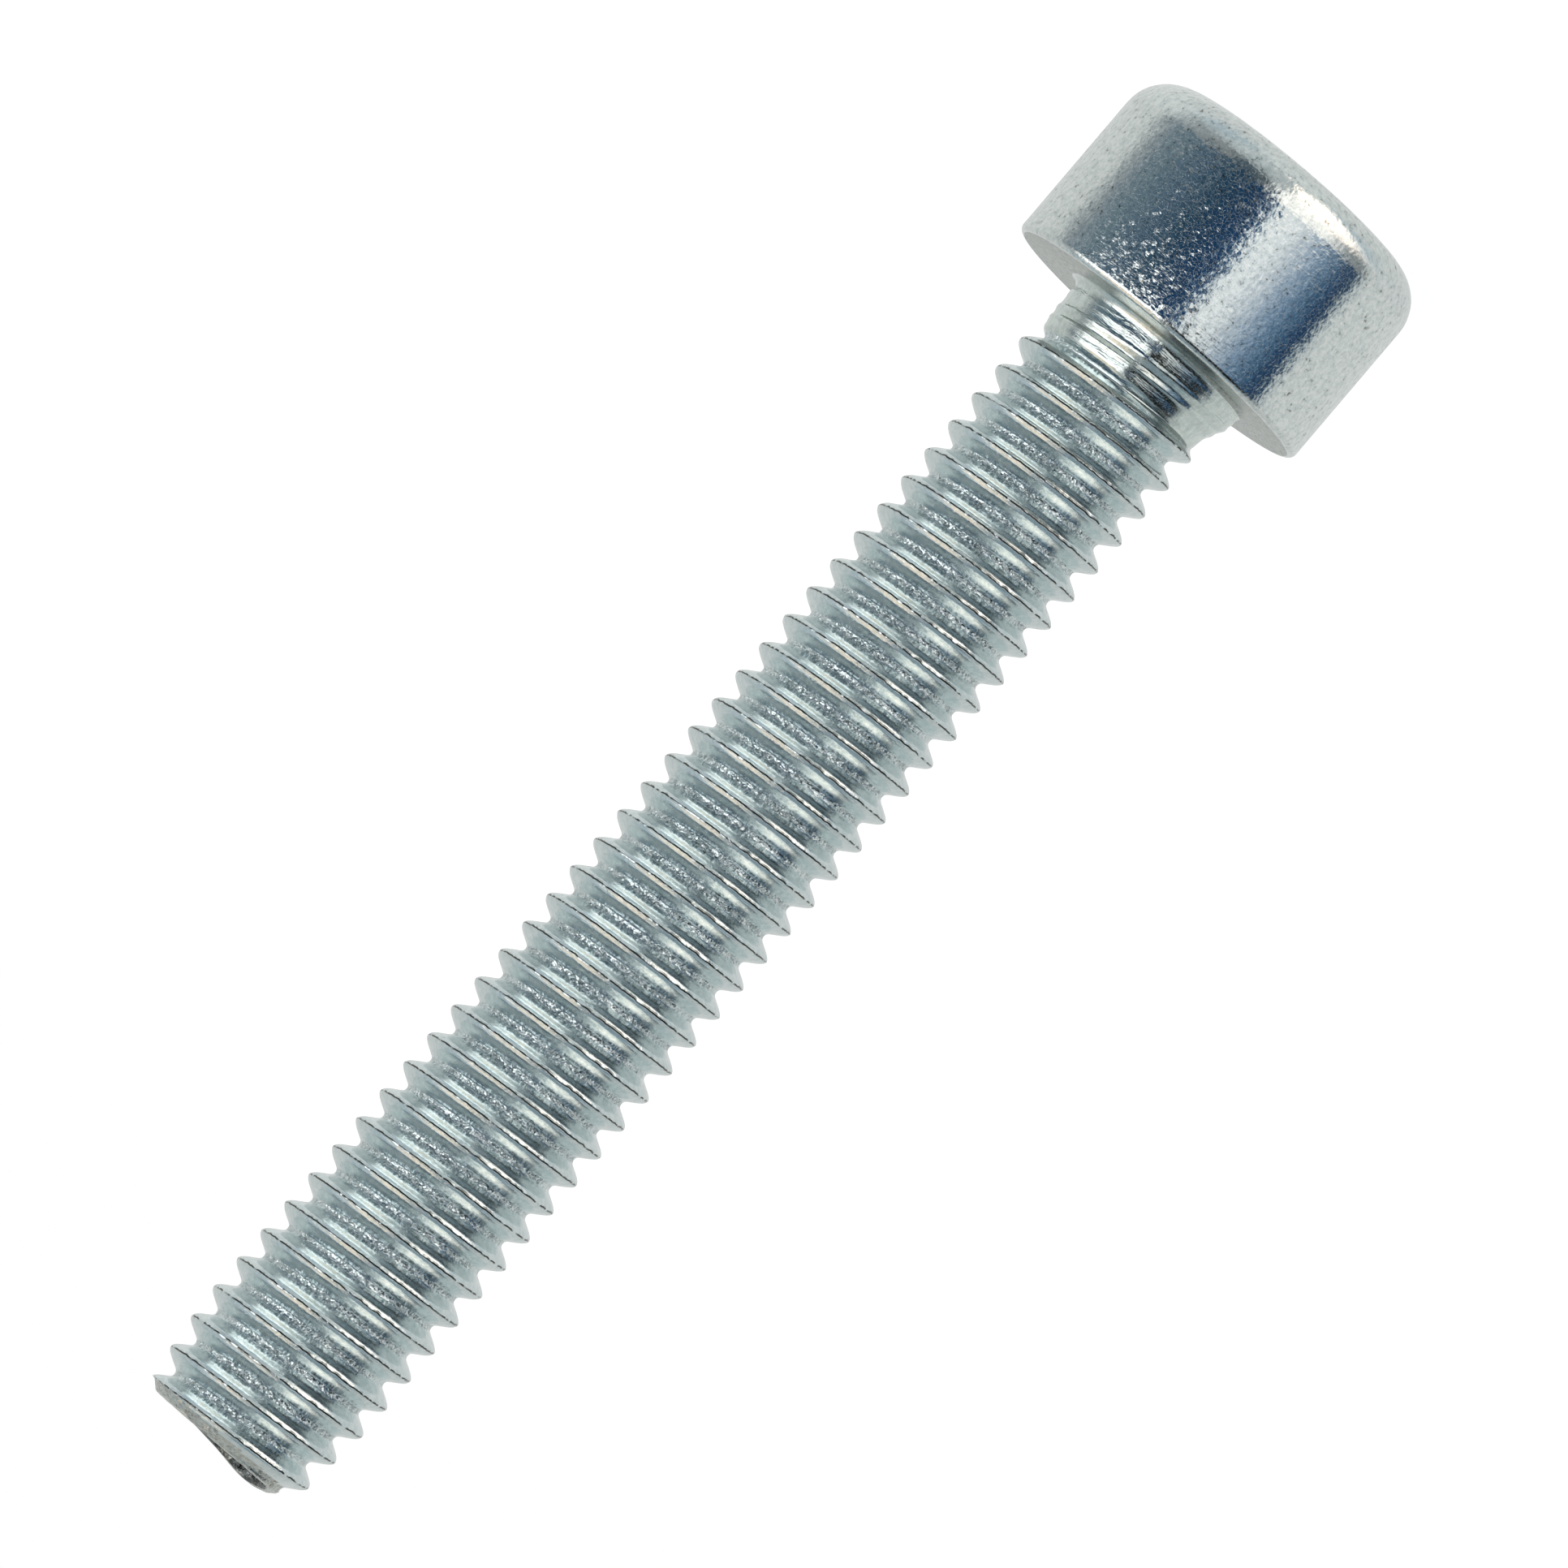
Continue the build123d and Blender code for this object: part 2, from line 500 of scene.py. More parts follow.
            def move(point: Vector) -> Vector:
                """Place one vertex of this ring.

                Args:
                    point: Where the vertex is.

                Returns:
                    Where it goes.
                """
                angle = math.atan2(point.y, point.x)
                radius = rim_radii[bearing(point)]
                roundness = min(number / self.rounding_rings, 1.0)
                radius = share * (radius + (self.lip_radius - radius) * roundness)
                # Waves of two and more to the round, each turned away from the one before
                waves = sum(d * math.sin((k + 2) * angle + 5 * k) for k, d in enumerate(dent))
                rough = waves * self.dent_height
                top = self.rim_height + rise * self.lip_rise(angle) - sink
                height = min(top + rough, self.length - self.tip_clearance)
                return at_radius(point, radius + rough, height)

            place_picked(piece, move)
        bpy.ops.mesh.extrude_region()
        bpy.ops.mesh.merge(type="CENTER")

    def build(self) -> bpy.types.Object:
        """Model the shank from its neck to its end.

        Returns:
            The shank, open where the head joins it.
        """
        piece = self.roll()
        self.form(piece)
        self.close_end(piece)
        bpy.ops.object.mode_set(mode="OBJECT")
        return piece


@dataclass
class CapHead:
    """Cold-forged cylinder head with its hexagon socket. Sizes in millimetres."""

    height: float
    radius: float
    top_rounding: float = 1.32
    top_rounding_steps: int = 12
    lower_rounding: float = 0.18
    lower_rounding_steps: int = 5
    neck_radius: float = 2.893
    neck_rounding: float = 0.25
    neck_rounding_steps: int = 5
    socket_flats: float = 5.0
    socket_depth: float = 3.0
    socket_mouth: float = 6.1
    socket_point: float = 1.3
    # Narrow ring that keeps the mouth's edge crisp, as a share of the flat round it
    mouth_edge: float = 0.03
    # Rings of the chamfer from the round mouth to the hexagon: share of the way in, share of the
    # chamfer's depth, and depth below it
    mouth_rings: tuple[tuple[float, float, float], ...] = (
        (0.02, 0.0, 0.0), (0.5, 0.5, 0.0), (1.0, 1.0, 0.02), (1.0, 1.0, 0.08),
    )
    # Small slant at the foot of the socket's walls: its height, and the hexagon's share left by it
    foot_height: float = 0.12
    foot_share: float = 0.96

    def hexagon(self, angle: float) -> float:
        """Radius of the hexagon at an angle, with its corners on the X axis."""
        side = math.radians(60)
        return self.socket_flats / 2 / math.cos(angle % side - side / 2)

    def blank(self) -> bpy.types.Object:
        """Model a cylinder with its two rims rounded.

        Returns:
            The blank, in edit mode.
        """
        start_alone()
        bpy.ops.mesh.primitive_cylinder_add(
            vertices=FACETS_ROUND,
            radius=self.radius * MM,
            depth=self.height * MM,
            location=(0, 0, -self.height / 2 * MM),
        )
        piece = bpy.context.object
        piece.name = "cap_head"
        bpy.ops.object.transform_apply(location=True)
        bpy.ops.object.mode_set(mode="EDIT")
        for level, rounding, steps in (
            (-self.height, self.top_rounding, self.top_rounding_steps),
            (0.0, self.lower_rounding, self.lower_rounding_steps),
        ):
            pick(
                piece, Element.EDGE,
                lambda e: all(abs(v.co.z - level * MM) < NEAR for v in e.verts),
            )
            bpy.ops.mesh.bevel(
                offset=rounding * MM, offset_type="OFFSET", segments=steps, profile=0.5,
                affect="EDGES",
            )
        return piece

    def sink_socket(self, piece: bpy.types.Object) -> None:
        """Inset the mouth, sink the hexagon and give its floor the shallow point.

        Args:
            piece: The blank in edit mode.
        """
        top = -self.height
        mouth = self.socket_mouth / 2
        flat = self.radius - self.top_rounding - mouth
        pick(piece, Element.FACE, lambda f: is_end_face(f, -1))
        bpy.ops.mesh.inset(thickness=flat * (1 - self.mouth_edge) * MM)
        bpy.ops.mesh.inset(thickness=flat * self.mouth_edge * MM)
        place_picked(piece, lambda p: at_radius(p, mouth, top))
        for share, depth_share, below in self.mouth_rings:
            bpy.ops.mesh.extrude_region()

            def sink(point: Vector) -> Vector:
                """Move a vertex of the mouth towards the hexagon.

                Args:
                    point: Where the vertex is.

                Returns:
                    Where it goes.
                """
                wall = self.hexagon(math.atan2(point.y, point.x))
                radius = mouth + (wall - mouth) * share
                return at_radius(point, radius, top + (mouth - wall) * depth_share + below)

            place_picked(piece, sink)
        floor = ((self.socket_depth - self.foot_height, 1.0), (self.socket_depth, self.foot_share))
        for depth, share in floor:
            bpy.ops.mesh.extrude_region()
            place_picked(
                piece,
                lambda p: at_radius(p, share * self.hexagon(math.atan2(p.y, p.x)), top + depth),
            )
        bpy.ops.mesh.poke(offset=-self.socket_point * MM)

    def open_neck(self, piece: bpy.types.Object) -> None:
        """Inset the bearing face and draw the rounded root of the neck out of it.

        Args:
            piece: The head in edit mode.
        """
        pick(piece, Element.FACE, lambda f: is_end_face(f, 1))
        foot = self.neck_radius + self.neck_rounding
        bpy.ops.mesh.inset(thickness=(self.radius - self.lower_rounding - foot) * MM)
        place_picked(piece, lambda p: at_radius(p, foot, 0.0))
        for step in range(1, self.neck_rounding_steps + 1):
            turn = step / self.neck_rounding_steps * math.pi / 2
            radius = foot - self.neck_rounding * math.sin(turn)
            rise = self.neck_rounding * (1 - math.cos(turn))
            bpy.ops.mesh.extrude_region()
            place_picked(piece, lambda p: at_radius(p, radius, rise))
        bpy.ops.mesh.delete(type="ONLY_FACE")

    def build(self) -> bpy.types.Object:
        """Model the head with its socket.

        Returns:
            The head, open where the neck joins it.
        """
        piece = self.blank()
        self.sink_socket(piece)
        self.open_neck(piece)
        bpy.ops.object.mode_set(mode="OBJECT")
        return piece


@dataclass(frozen=True)
class Place:
    """Output sockets that say where on the screw a point is, in millimetres, radians and turns."""

    point: Socket
    height: Socket
    angle: Socket
    turn: Socket
    # Along the turning direction, and across it
    worked: Socket
    # Soft noise that borders and bends the finer patterns
    patches: Socket

    def streaks(self, tree: Tree, length: float, width: float, detail: float) -> Socket:
        """Add noise that is drawn out along the turning direction.

        Args:
            tree: The material's node tree.
            length: Length of its features.
            width: Their width.
            detail: How many finer layers it has.

        Returns:
            The noise.
        """
        scale = (1 / length, 1 / width, 0.0)
        stretched = calculate_vector(tree, "MULTIPLY", self.worked, scale)
        return add_noise(tree, stretched, 1.0, detail)


@dataclass(frozen=True)
class RolledMarks:
    """Marks that thread rolling leaves: a broken seam on the crest and a rough root.

    Sizes are in millimetres, and so are shares of a turn, because the pitch is 1 mm.
    """

    waver_length: float = 0.22
    waver_width: float = 0.5
    waver: float = 0.1
    # Half widths at which a mark starts and is full
    seam: tuple[float, float] = (0.03, 0.014)
    lip: tuple[float, float] = (0.06, 0.02)
    lip_height: float = 0.024
    # Range of the noise over which the seam goes from closed to open
    breaks: tuple[float, float] = (0.36, 0.48)
    # Distances from the crest over which the flank becomes the root, and the flank's roughness as a
    # share of the root's
    root: tuple[float, float] = (0.4, 0.44)
    flank_share: float = 0.04
    # Whole turns added before the fraction is taken, so that it is taken of a positive number
    whole_turns: int = 10
    # The seam's dark colour is painted shade of the fold's groove along the crest, which the mesh
    # doesn't cut
    colour: str = "#3E3C36"

    def sockets(self, tree: Tree, place: Place) -> tuple[Socket, Socket, Socket]:
        """Add the nodes of the marks.

        Args:
            tree: The material's node tree.
            place: Where a point is.

        Returns:
            How much of the seam, of the root and of the seam's raised lips is at a point.
        """
        lead = calculate(tree, "SUBTRACT", place.height, place.turn)
        shifted = calculate(tree, "ADD", lead, self.whole_turns - PATTERN_FRONT / 360)
        # From 0 at a root over 0.5 at the crest to 1 at the next root
        phase = calculate(tree, "FRACT", shifted)
        uneven = place.streaks(tree, self.waver_length, self.waver_width, detail=4.0)
        wobble = calculate(tree, "MULTIPLY_ADD", uneven, self.waver, -(0.5 + self.waver / 2))
        offset = calculate(tree, "ADD", phase, wobble)
        from_seam = calculate(tree, "ABSOLUTE", offset)
        line = remap(tree, from_seam, self.seam)
        broken = remap(tree, uneven, self.breaks)
        seam = calculate(tree, "MULTIPLY", line, broken)
        lip = remap(tree, from_seam, self.lip, smooth=True)
        lip = calculate(tree, "MULTIPLY", lip, uneven)
        centred = calculate(tree, "SUBTRACT", phase, 0.5)
        from_crest = calculate(tree, "ABSOLUTE", centred)
        root = remap(tree, from_crest, self.root, (self.flank_share, 1.0))
        return seam, root, lip


@dataclass(frozen=True)
class ZincFinish:
    """Electroplated zinc with a pale blue passivation, as one zone of the screw shows it.

    Lengths are in millimetres. Every zone is bare metal to the eye: pale and slightly green where
    it mirrors something white, deep blue-grey where it mirrors something dark.
    """

    name: str
    colour: str
    shade: str
    roughness: float
    roughness_spread: float
    # Radius at which the tool marks have their true length
    girth: float
    # Size of a crystal, and the steepest lean of its facet as a slope
    crystal: float
    crystal_slope: float
    fine: float
    fine_height: float
    wave: float
    wave_height: float
    streak_length: float
    streak_width: float
    streak_height: float
    streak_bend: float = 0.0
    # Noise that makes the crystals' borders ragged: its size, and how far it moves them, as shares
    # of a crystal
    border_noise: float = 0.7
    border_shift: float = 0.8
    pit: float = 0.2
    pit_level: float = 0.68
    pit_softness: float = 0.08
    pit_detail: float = 4.0
    pit_raggedness: float = 0.65
    pit_colour: str = "#7C766A"
    # Ranges of the pits' noise over which the colour and the roughness change
    mottle: tuple[float, float] = (0.4, 0.62)
    roughness_range: tuple[float, float] = (0.3, 0.7)
    patch: float = 0.9
    patch_range: tuple[float, float] = (0.36, 0.6)
    patch_least: float = 0.3
    # How much flatter the crystals lie between the ragged patches round the piece, from 0 to 1.
    # Where it is 0, there are no such patches, and they follow the soft noise of patch alone.
    uneven: float = 0.0
    ragged_patches: int = 3
    ragged_angle: float = 0.3
    raggedness: float = 1.6
    ragged_range: tuple[float, float] = (0.9, 1.5)
    marks: RolledMarks | None = None

    def find_place(self, tree: Tree) -> Place:
        """Add the nodes that say where a point is.

        Args:
            tree: The material's node tree.

        Returns:
            The sockets.
        """
        object_place = add_node(tree, "ShaderNodeTexCoord").outputs["Object"]
        # Turned so that the seam of the angle round the axis is on the screw's far side
        turned = add_node(
            tree, "ShaderNodeMapping",
            {
                "Vector": object_place, "Rotation": (0, 0, math.radians(-PATTERN_FRONT)),
                "Scale": (1 / MM, 1 / MM, 1 / MM),
            },
        ).outputs[0]
        parts = add_node(tree, "ShaderNodeSeparateXYZ", {0: turned}).outputs
        angle = calculate(tree, "ARCTAN2", parts["Y"], parts["X"])
        turn = calculate(tree, "MULTIPLY", angle, 1 / (2 * math.pi))
        flat = add_node(tree, "ShaderNodeCombineXYZ", {0: parts["X"], 1: parts["Y"]}).outputs[0]
        radius = calculate_vector(tree, "LENGTH", flat)
        along = calculate(tree, "MULTIPLY", angle, self.girth)
        rise = calculate(tree, "SUBTRACT", parts["Z"], turn)
        across = calculate(tree, "SUBTRACT", rise, radius)
        patches = add_noise(tree, turned, self.patch, detail=3.0)
        if self.streak_bend:
            across = calculate(tree, "MULTIPLY_ADD", patches, self.streak_bend, across)
        worked = add_node(tree, "ShaderNodeCombineXYZ", {0: along, 1: across}).outputs[0]
        return Place(turned, parts["Z"], angle, turn, worked, patches)

    def crystal_strength(self, tree: Tree, place: Place) -> Socket:
        """Add the nodes that say how far the crystals stand out.

        Args:
            tree: The material's node tree.
            place: Where a point is.

        Returns:
            The crystals' strength, from 0 to 1.
        """
        if not self.uneven:
            return remap(tree, place.patches, self.patch_range, (self.patch_least, 1.0))
        count = self.ragged_patches
        repeated = calculate(tree, "MULTIPLY_ADD", place.angle, count, -count * self.ragged_angle)
        lobes = calculate(tree, "COSINE", repeated)
        ragged = calculate(tree, "MULTIPLY_ADD", place.patches, self.raggedness, lobes)
        return remap(tree, ragged, self.ragged_range, (1 - self.uneven, 1.0), smooth=True)

    def tool_marks(self, tree: Tree, place: Place) -> Socket:
        """Add the nodes of what the tools leave: slight waves, and fine marks along the turning.

        Args:
            tree: The material's node tree.
            place: Where a point is.

        Returns:
            The normal.
        """
        wave = add_noise(tree, place.point, self.wave, detail=1.0)
        normal = add_bump(tree, wave, self.wave_height)
        streaks = place.streaks(tree, self.streak_length, self.streak_width, detail=2.0)
        return add_bump(tree, streaks, self.streak_height, normal)

    def crystals(self, tree: Tree, place: Place) -> Socket:
        """Add the nodes of the zinc crystals, each a facet with a lean of its own.

        The real ones are under 0.05 mm and too fine to show, so they are drawn as coarse as the
        clusters that sparkle.

        Args:
            tree: The material's node tree.
            place: Where a point is.

        Returns:
            The facets' height.
        """
        jitter = add_node(
            tree, "ShaderNodeTexNoise",
            {"Vector": place.point, "Scale": 1 / (self.border_noise * self.crystal)},
        ).outputs["Color"]
        shift = (self.border_shift * self.crystal,) * 3
        jittered = calculate_vector(tree, "MULTIPLY_ADD", jitter, shift, place.point)
        cells = add_node(
            tree, "ShaderNodeTexVoronoi", {"Vector": jittered, "Scale": 1 / self.crystal}
        ).outputs
        inside = calculate_vector(tree, "SUBTRACT", jittered, cells["Position"])
        lean = calculate_vector(tree, "SUBTRACT", cells["Color"], (0.5, 0.5, 0.5))
        # The cell's random colour, centred on 0, is its facet's lean. Cubed, so that most of the
        # facets lie nearly flat and a few lean steeply and sparkle.
        squared = calculate_vector(tree, "MULTIPLY", lean, lean)
        cubed = calculate_vector(tree, "MULTIPLY", squared, lean)
        facets = calculate_vector(tree, "DOT_PRODUCT", inside, cubed)
        return calculate(tree, "MULTIPLY", facets, self.crystal_strength(tree, place))

    def material(self) -> bpy.types.Material:
        """Build the finish as a material.

        Returns:
            The material, which reads Object coordinates only.
        """
        material = bpy.data.materials.new(self.name)
        material.use_nodes = True
        tree = material.node_tree
        tree.nodes.clear()
        place = self.find_place(tree)
        normal = self.tool_marks(tree, place)
        facets = self.crystals(tree, place)
        if self.marks:
            seam, root, lip = self.marks.sockets(tree, place)
            facets = calculate(tree, "MULTIPLY", facets, root)
            normal = add_bump(tree, lip, self.marks.lip_height, normal)
        # The facets' lean is the cube of at most a half, which the 8 makes up for
        normal = add_bump(tree, facets, 8 * self.crystal_slope, normal)
        fine = add_noise(tree, place.point, self.fine, detail=1.0)
        normal = add_bump(tree, fine, self.fine_height, normal)

        # Pits where the plating is thin: darker, brownish and matt
        speckle = add_noise(tree, place.point, self.pit, self.pit_detail, self.pit_raggedness)
        pits = remap(tree, speckle, (self.pit_level, self.pit_level + self.pit_softness))
        mottle = remap(tree, speckle, self.mottle)
        colour = mix_colours(tree, mottle, linear(self.colour), linear(self.shade))
        colour = mix_colours(tree, pits, colour, linear(self.pit_colour))
        if self.marks:
            # The seam is painted dark: painted shade of the fold's groove along the crest
            colour = mix_colours(tree, seam, colour, linear(self.marks.colour))
        spread = self.roughness_spread
        roughness = remap(
            tree, speckle, self.roughness_range,
            (self.roughness - spread, self.roughness + spread),
        )
        shader = add_node(
            tree, "ShaderNodeBsdfPrincipled",
            {"Base Color": colour, "Metallic": 1.0, "Roughness": roughness, "Normal": normal},
        )
        add_node(tree, "ShaderNodeOutputMaterial", {"Surface": shader.outputs["BSDF"]})
        return material


FINISHES: dict[Zone, ZincFinish] = {
    # Side and top of the forged head: satin, with the sparkle of coarse plating crystals
    Zone.HEAD: ZincFinish(
        "zinc_plate_forged_head", "#E8EDEB", "#D0D8D8", 0.115, 0.035, girth=4.9,
        crystal=0.11, crystal_slope=0.07, fine=0.12, fine_height=0.0065,
        wave=0.7, wave_height=0.005, streak_length=0.4, streak_width=0.055, streak_height=0.003,
        pit=0.16, pit_level=0.62, uneven=0.6,
    ),
    # Punched walls of the socket: duller, since plating hardly reaches inside
    Zone.SOCKET: ZincFinish(
        "zinc_plate_punched_socket", "#B4BBBA", "#9AA2A2", 0.34, 0.06, girth=2.7,
        crystal=0.16, crystal_slope=0.3, fine=0.07, fine_height=0.003,
        wave=0.8, wave_height=0.008, streak_length=0.4, streak_width=0.08, streak_height=0.004,
        pit_level=0.6,
    ),
    # Bearing face: duller, with the fine rings that the forging die leaves
    Zone.SEAT: ZincFinish(
        "zinc_plate_bearing_face", "#B0B5B1", "#9AA19E", 0.25, 0.05, girth=3.8,
        crystal=0.12, crystal_slope=0.12, fine=0.06, fine_height=0.002,
        wave=0.8, wave_height=0.01, streak_length=1.5, streak_width=0.12, streak_height=0.004,
        pit=0.16, pit_level=0.64,
    ),
    # Neck burnished by the rolling dies: the glossiest place of all, with streaks that cross
    Zone.NECK: ZincFinish(
        "zinc_plate_burnished_neck", "#DCE4E0", "#CAD4D1", 0.09, 0.03, girth=2.8,
        crystal=0.07, crystal_slope=0.05, fine=0.06, fine_height=0.0006,
        wave=0.3, wave_height=0.007, streak_length=0.5, streak_width=0.06, streak_height=0.007,
        streak_bend=0.35,
    ),
    # Rolled flanks: smooth and glossy, with granular roots and a seam along the crest
    Zone.THREAD: ZincFinish(
        "zinc_plate_rolled_thread", "#E4ECEC", "#D5E1E2", 0.14, 0.03, girth=2.7,
        crystal=0.06, crystal_slope=1.8, fine=0.05, fine_height=0.0008,
        wave=0.6, wave_height=0.006, streak_length=0.6, streak_width=0.07, streak_height=0.0015,
        pit_level=0.7, marks=RolledMarks(),
    ),
    # Sheared and folded end: matt and rough
    Zone.END: ZincFinish(
        "zinc_plate_sheared_end", "#D3D6D1", "#B6B8B2", 0.24, 0.08, girth=2.1,
        crystal=0.12, crystal_slope=0.5, fine=0.07, fine_height=0.006,
        wave=0.4, wave_height=0.02, streak_length=0.5, streak_width=0.08, streak_height=0.008,
        pit=0.14, pit_level=0.6,
    ),
    # Inside of the fold: pressed glossy. Its dark colour and darker second colour are painted shade
    # of the deep, hidden cup
    Zone.CUP: ZincFinish(
        "zinc_plate_pressed_cup_painted_shade", "#8A8F8E", "#3E4140", 0.12, 0.04, girth=1.6,
        crystal=0.12, crystal_slope=1.0, fine=0.07, fine_height=0.003,
        wave=0.4, wave_height=0.02, streak_length=0.3, streak_width=0.08, streak_height=0.008,
        pit=0.14, pit_level=0.58,
    ),
}


@dataclass
class Screw:
    """The whole screw, as one closed piece. Sizes in millimetres, corners in metres."""

    low: Vector
    high: Vector
    # The collar leans to one side as a whole up to the first height, and not at all at the second
    collar_lean: float = 0.16
    collar_lean_angle: float = math.radians(119)
    collar_lean_start: float = 0.65
    collar_lean_end: float = 1.25
    collar_reach: float = 3.3
    # Borders between the finishes
    socket_reach: float = 3.06
    seat_height: float = 0.12
    seat_from: float = 3.0
    seat_to: float = 4.7
    neck_end: float = 1.7
    cup_reach: float = 1.76
    # Edges sharper than this stay sharp
    sharp_angle: float = math.radians(38)

    def head_height(self) -> float:
        """Distance of the head's outer face from the bearing face."""
        return -self.low.z / MM

    def zone_of(self, face: bpy.types.MeshPolygon) -> Zone:
        """Say which zone a face belongs to, by its place.

        Args:
            face: A face of the screw.

        Returns:
            The zone.
        """
        radius = face.center.xy.length / MM
        height = face.center.z / MM
        if height < 0.0:
            in_socket = radius < self.socket_reach and height > -self.head_height() + NEAR / MM
            return Zone.SOCKET if in_socket else Zone.HEAD
        if height < self.seat_height and radius > self.seat_from:
            return Zone.SEAT if radius < self.seat_to else Zone.HEAD
        if height < self.neck_end:
            return Zone.NECK
        if height < RolledShank.end_chamfer_start:
            return Zone.THREAD
        return Zone.CUP if radius < self.cup_reach else Zone.END

    def lean_collar(self, piece: bpy.types.Object) -> None:
        """Push the collar a little to one side, as the forging left it.

        Args:
            piece: The joined screw.
        """
        span = self.collar_lean_end - self.collar_lean_start
        for vertex in piece.data.vertices:
            height = vertex.co.z / MM
            near = vertex.co.xy.length < self.collar_reach * MM
            if near and -NEAR / MM < height < self.collar_lean_end:
                fade = 1 - float(smooth_step((height - self.collar_lean_start) / span))
                vertex.co.x += self.collar_lean * MM * fade * math.cos(self.collar_lean_angle)
                vertex.co.y += self.collar_lean * MM * fade * math.sin(self.collar_lean_angle)

    def build(self) -> bpy.types.Object:
        """Model, join and dress the screw.

        Returns:
            The finished piece.
        """
        shank = RolledShank(length=self.high.z / MM).build()
        log.info("shank: %d faces", len(shank.data.polygons))
        radius = min(self.high.x, self.high.y) / MM
        head = CapHead(height=self.head_height(), radius=radius).build()
        log.info("head: %d faces", len(head.data.polygons))
        start_alone()
        shank.select_set(True)
        head.select_set(True)
        bpy.context.view_layer.objects.active = shank
        bpy.ops.object.join()
        piece = bpy.context.object
        piece.name = "screw"
        self.lean_collar(piece)
        bpy.ops.object.mode_set(mode="EDIT")
        bpy.ops.mesh.select_all(action="SELECT")
        bpy.ops.mesh.remove_doubles(threshold=NECK_WELD)
        bpy.ops.mesh.select_all(action="SELECT")
        bpy.ops.mesh.normals_make_consistent(inside=False)
        bpy.ops.object.mode_set(mode="OBJECT")
        bpy.ops.object.shade_smooth_by_angle(angle=self.sharp_angle)
        for zone in Zone:
            piece.data.materials.append(FINISHES[zone].material())
        for face in piece.data.polygons:
            face.material_index = self.zone_of(face).value
        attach(piece, "root")
        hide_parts(NODE)
        return piece


@dataclass(frozen=True)
class LightRing:
    """Soft light from all round, at one steepness.

    Its stops are degrees from the camera's direction, and a colour. The blend is the direction's Z
    at which the ring starts to take over from the one before it, and at which it has. The first
    ring of a studio has no blend, because the others lie over it.
    """

    stops: tuple[tuple[float, str], ...]
    blend: tuple[float, float] = (0.0, 0.0)


# Level with the screw
LEVEL = LightRing(
    (
        (-180, "#9C9E9D"), (-122, "#9B9D9C"), (-110, "#959796"), (-99, "#6C7174"),
        (-88, "#535E65"), (-74, "#43525B"), (-54, "#314251"), (-36, "#182F3F"), (-27, "#0D283E"),
        (-15, "#08253E"), (-5, "#0B2742"), (0, "#28425B"), (4, "#939AA1"), (8, "#B3B4B4"),
        (19, "#ADAFB1"), (27, "#979CA1"), (36, "#7C8692"), (45, "#5D6E80"), (54, "#3F5468"),
        (63, "#283F55"), (70, "#10253F"), (75, "#1D3042"), (79, "#71797E"), (84, "#979999"),
        (92, "#9B9D9C"), (180, "#9C9E9D"),
    ),
)
# From below, then from the floor's direction, then from straight down
BELOW = LightRing(
    (
        (-180, "#A1A3A2"), (-108, "#9DA09F"), (-88, "#75797B"), (-60, "#64686A"), (-45, "#595D5E"),
        (-36, "#37424A"), (-20, "#303A41"), (-10, "#606365"), (-2, "#ADADAD"), (5, "#D4CFCA"),
        (40, "#C9C5C1"), (54, "#979797"), (66, "#64686A"), (78, "#606365"), (86, "#939594"),
        (100, "#989A9A"), (180, "#9A9C9B"),
    ),
    (-0.17, -0.32),
)
FLOOR = LightRing(
    (
        (-180, "#9C9E9D"), (-118, "#989A9A"), (-95, "#808B91"), (-60, "#8C9192"), (-10, "#84898A"),
        (0, "#8A8D8D"), (7, "#B1B1AD"), (17, "#FBE9DC"), (72, "#FBE9DC"), (88, "#ADADAD"),
        (100, "#828D93"), (120, "#969998"), (180, "#9C9E9D"),
    ),
    (-0.5, -0.8),
)
NADIR = LightRing(((-180, "#9EA1A0"), (180, "#9EA1A0")), (-0.93, -0.99))
# A little above the screw's level, where a white and a black screen stand side by side
ABOVE = LightRing(
    (
        (-180, "#969897"), (-110, "#919392"), (-92, "#707476"), (-80, "#BCBCBC"), (-72, "#F0F0F0"),
        (-14, "#F0F0F0"), (-8, "#BCBCBC"), (-2, "#313334"), (3, "#121212"), (60, "#101010"),
        (70, "#262828"), (78, "#606365"), (86, "#878988"), (96, "#939594"), (180, "#969897"),
    ),
    (0.04, 0.21),
)
CEILING = LightRing(
    (
        (-180, "#898B8A"), (-105, "#7C878D"), (-88, "#A1A1A1"), (-72, "#BAAB9B"), (-34, "#B7A999"),
        (-16, "#898986"), (-3, "#6F7478"), (9, "#646F76"), (25, "#5D6970"), (72, "#636F76"),
        (90, "#727C81"), (110, "#878988"), (180, "#898B8A"),
    ),
    (0.5, 0.78),
)


